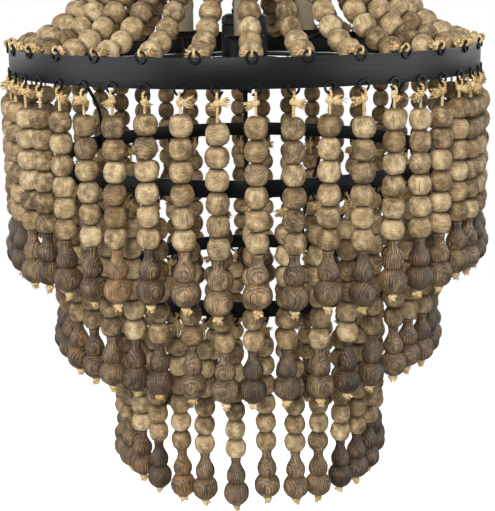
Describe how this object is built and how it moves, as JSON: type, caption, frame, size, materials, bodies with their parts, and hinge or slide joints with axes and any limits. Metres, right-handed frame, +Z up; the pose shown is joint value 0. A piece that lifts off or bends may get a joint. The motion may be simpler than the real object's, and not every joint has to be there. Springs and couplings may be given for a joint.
{
  "type": "beaded chandelier",
  "caption": "Tiered ceiling light: iron rings in steps, fringed with wooden bead strings under a tent of bead swags, on a chain.",
  "frame": {"origin": "the centre of the mounting bar's top face, which lies against the ceiling, on the column's axis", "axes": "+Z up along the column; -Y is the side that the picture shows; +X is its right"},
  "size_m": [0.6468, 0.6463, 1.06],
  "materials": {
    "iron": "matte black iron",
    "bead_wood": "unfinished weathered wood",
    "sleeve_white": "matt ivory",
    "porcelain": "glazed",
    "bulb_glass": "clear glass"
  },
  "bodies": {
    "ceiling_fixing": {"mounting_bar": "iron", "canopy_loop": "iron"},
    "canopy": {"canopy": "iron", "canopy_nut": "iron"},
    "chain_link_1": {"chain_link_1": "iron"},
    "chain_link_2": {"chain_link_2": "iron"},
    "chain_link_3": {"chain_link_3": "iron"},
    "chain_link_4": {"chain_link_4": "iron"},
    "frame": {"column_loop": "iron", "crown_spider": "iron", "column": "iron", "hub": "iron", "hub_nut": "iron", "spoke_1": "iron", "spoke_2": "iron", "spoke_3": "iron", "upper_rod_1": "iron", "upper_rod_2": "iron", "upper_rod_3": "iron", "lower_rod_1": "iron", "lower_rod_2": "iron", "lower_rod_3": "iron", "lamp_arm_1": "iron", "lamp_arm_2": "iron", "lamp_arm_3": "iron", "drip_cup_1": "iron", "drip_cup_2": "iron", "drip_cup_3": "iron", "crown_ring": "bead_wood", "outer_ring": "bead_wood", "middle_ring": "bead_wood", "lower_ring": "bead_wood", "candle_sleeve_1": "sleeve_white", "candle_sleeve_2": "sleeve_white", "candle_sleeve_3": "sleeve_white", "lampholder_1": "porcelain", "lampholder_2": "porcelain", "lampholder_3": "porcelain"},
    "bulb_1": {"bulb_1": "bulb_glass"},
    "bulb_2": {"bulb_2": "bulb_glass"},
    "bulb_3": {"bulb_3": "bulb_glass"},
    "outer_string_1": {"outer_string_1": "bead_wood"},
    "outer_string_2": {"outer_string_2": "bead_wood"},
    "outer_string_3": {"outer_string_3": "bead_wood"},
    "middle_string_1": {"middle_string_1": "bead_wood"},
    "middle_string_2": {"middle_string_2": "bead_wood"},
    "middle_string_3": {"middle_string_3": "bead_wood"},
    "lower_string_1": {"lower_string_1": "bead_wood"},
    "lower_string_2": {"lower_string_2": "bead_wood"},
    "lower_string_3": {"lower_string_3": "bead_wood"}
  },
  "joints": [
    {"name": "canopy_drop", "type": "slide", "parent": "ceiling_fixing", "child": "canopy", "axis": [0, 0, 1], "range_m": [-0.01, 0]},
    {"name": "chain_link_1_swing", "type": "hinge", "parent": "ceiling_fixing", "child": "chain_link_1", "pos_m": [0, 0, -0.0796], "axis": [1, 0, 0], "range_deg": [-20, 20]},
    {"name": "chain_link_2_swing", "type": "hinge", "parent": "chain_link_1", "child": "chain_link_2", "pos_m": [0, 0, -0.1108], "axis": [0, 1, 0], "range_deg": [-20, 20]},
    {"name": "chain_link_3_swing", "type": "hinge", "parent": "chain_link_2", "child": "chain_link_3", "pos_m": [0, 0, -0.1425], "axis": [1, 0, 0], "range_deg": [-20, 20]},
    {"name": "chain_link_4_swing", "type": "hinge", "parent": "chain_link_3", "child": "chain_link_4", "pos_m": [0, 0, -0.1742], "axis": [0, 1, 0], "range_deg": [-20, 20]},
    {"name": "frame_swing", "type": "hinge", "parent": "chain_link_4", "child": "frame", "pos_m": [0, 0, -0.2059], "axis": [1, 0, 0], "range_deg": [-15, 15]},
    {"name": "bulb_1_turn", "type": "hinge", "parent": "frame", "child": "bulb_1", "pos_m": [0, -0.095, -0.4157], "axis": [0, 0, 1], "continuous": true},
    {"name": "bulb_2_turn", "type": "hinge", "parent": "frame", "child": "bulb_2", "pos_m": [0.08227, 0.0475, -0.4157], "axis": [0, 0, 1], "continuous": true},
    {"name": "bulb_3_turn", "type": "hinge", "parent": "frame", "child": "bulb_3", "pos_m": [-0.08227, 0.0475, -0.4157], "axis": [0, 0, 1], "continuous": true},
    {"name": "outer_string_1_swing", "type": "hinge", "parent": "frame", "child": "outer_string_1", "pos_m": [0.01064, -0.30456, -0.5347], "axis": [0.9994, 0.0349, 0], "range_deg": [-30, 6]},
    {"name": "outer_string_2_swing", "type": "hinge", "parent": "frame", "child": "outer_string_2", "pos_m": [0.25844, 0.16149, -0.5347], "axis": [-0.5299, 0.848, 0], "range_deg": [-30, 6]},
    {"name": "outer_string_3_swing", "type": "hinge", "parent": "frame", "child": "outer_string_3", "pos_m": [-0.26908, 0.14307, -0.5347], "axis": [-0.4695, -0.8829, 0], "range_deg": [-30, 6]},
    {"name": "middle_string_1_swing", "type": "hinge", "parent": "frame", "child": "middle_string_1", "pos_m": [0.14613, -0.20124, -0.6617], "axis": [0.8092, 0.5876, 0], "range_deg": [-12, 9]},
    {"name": "middle_string_2_swing", "type": "hinge", "parent": "frame", "child": "middle_string_2", "pos_m": [0.10121, 0.22718, -0.6617], "axis": [-0.9134, 0.407, 0], "range_deg": [-12, 9]},
    {"name": "middle_string_3_swing", "type": "hinge", "parent": "frame", "child": "middle_string_3", "pos_m": [-0.24735, -0.02593, -0.6617], "axis": [0.1043, -0.9945, 0], "range_deg": [-12, 9]},
    {"name": "lower_string_1_swing", "type": "hinge", "parent": "frame", "child": "lower_string_1", "pos_m": [0.17063, -0.03627, -0.8257], "axis": [0.2079, 0.9781, 0], "range_deg": [-25, 30]},
    {"name": "lower_string_2_swing", "type": "hinge", "parent": "frame", "child": "lower_string_2", "pos_m": [-0.05391, 0.1659, -0.8257], "axis": [-0.9511, -0.309, 0], "range_deg": [-25, 30]},
    {"name": "lower_string_3_swing", "type": "hinge", "parent": "frame", "child": "lower_string_3", "pos_m": [-0.11672, -0.12964, -0.8257], "axis": [0.7431, -0.6691, 0], "range_deg": [-25, 30]}
  ]
}
